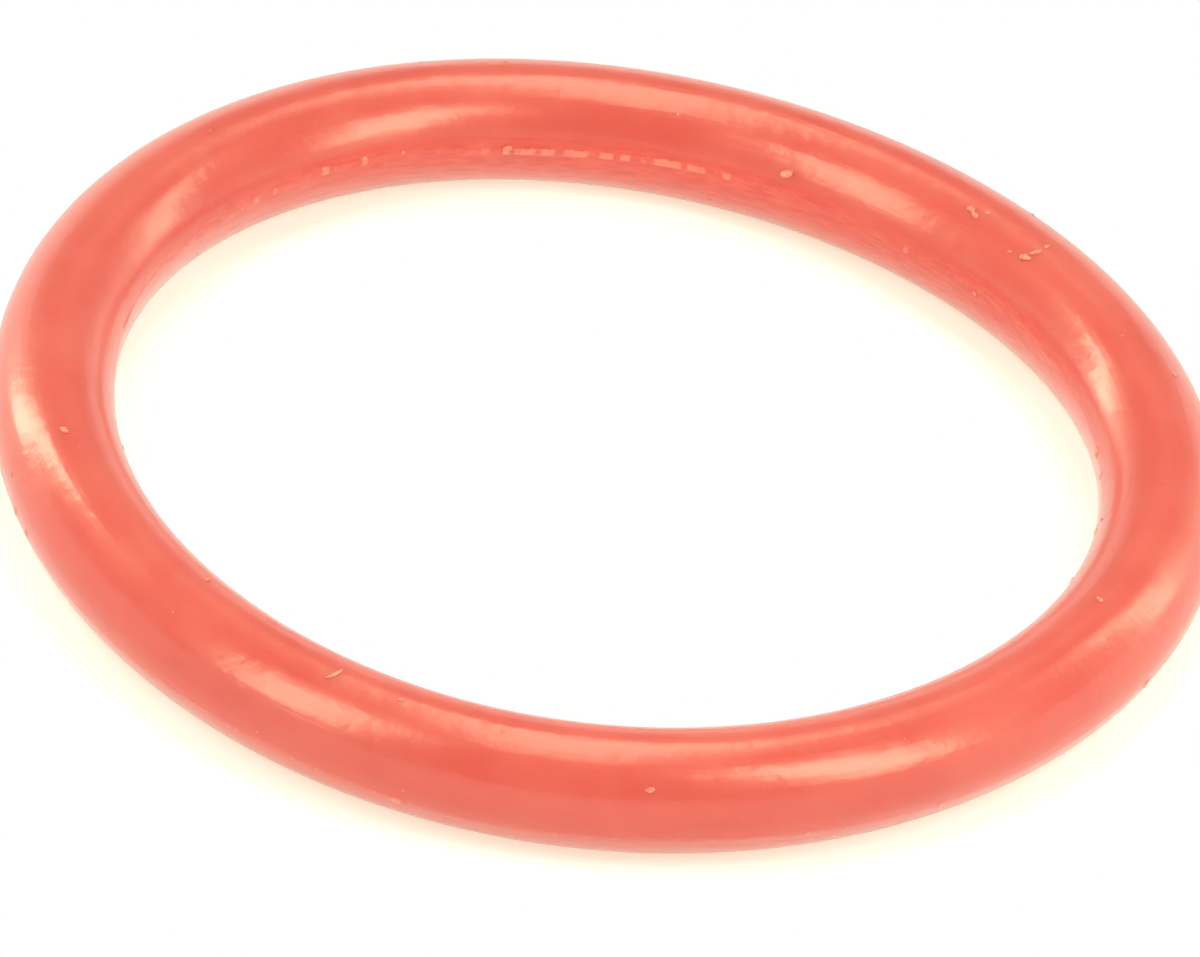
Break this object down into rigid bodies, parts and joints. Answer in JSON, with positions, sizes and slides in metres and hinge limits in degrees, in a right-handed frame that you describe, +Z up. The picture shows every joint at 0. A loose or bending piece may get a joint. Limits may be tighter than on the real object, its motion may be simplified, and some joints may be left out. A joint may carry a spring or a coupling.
{
  "type": "o-ring",
  "caption": "Soft silicone O-ring of round section with a fine moulded parting line, for sealing a shaft, a bore or the face of a lid in a groove.",
  "frame": {"origin": "centre of the ring on the plane that it lies on", "axes": "+Z up along the ring's axis; X and Y in the plane of the ring, +Y away from the viewer"},
  "size_m": [0.0402, 0.0402, 0.004],
  "materials": {
    "silicone": "satin"
  },
  "bodies": {
    "root": {"o_ring": "silicone"}
  },
  "joints": []
}
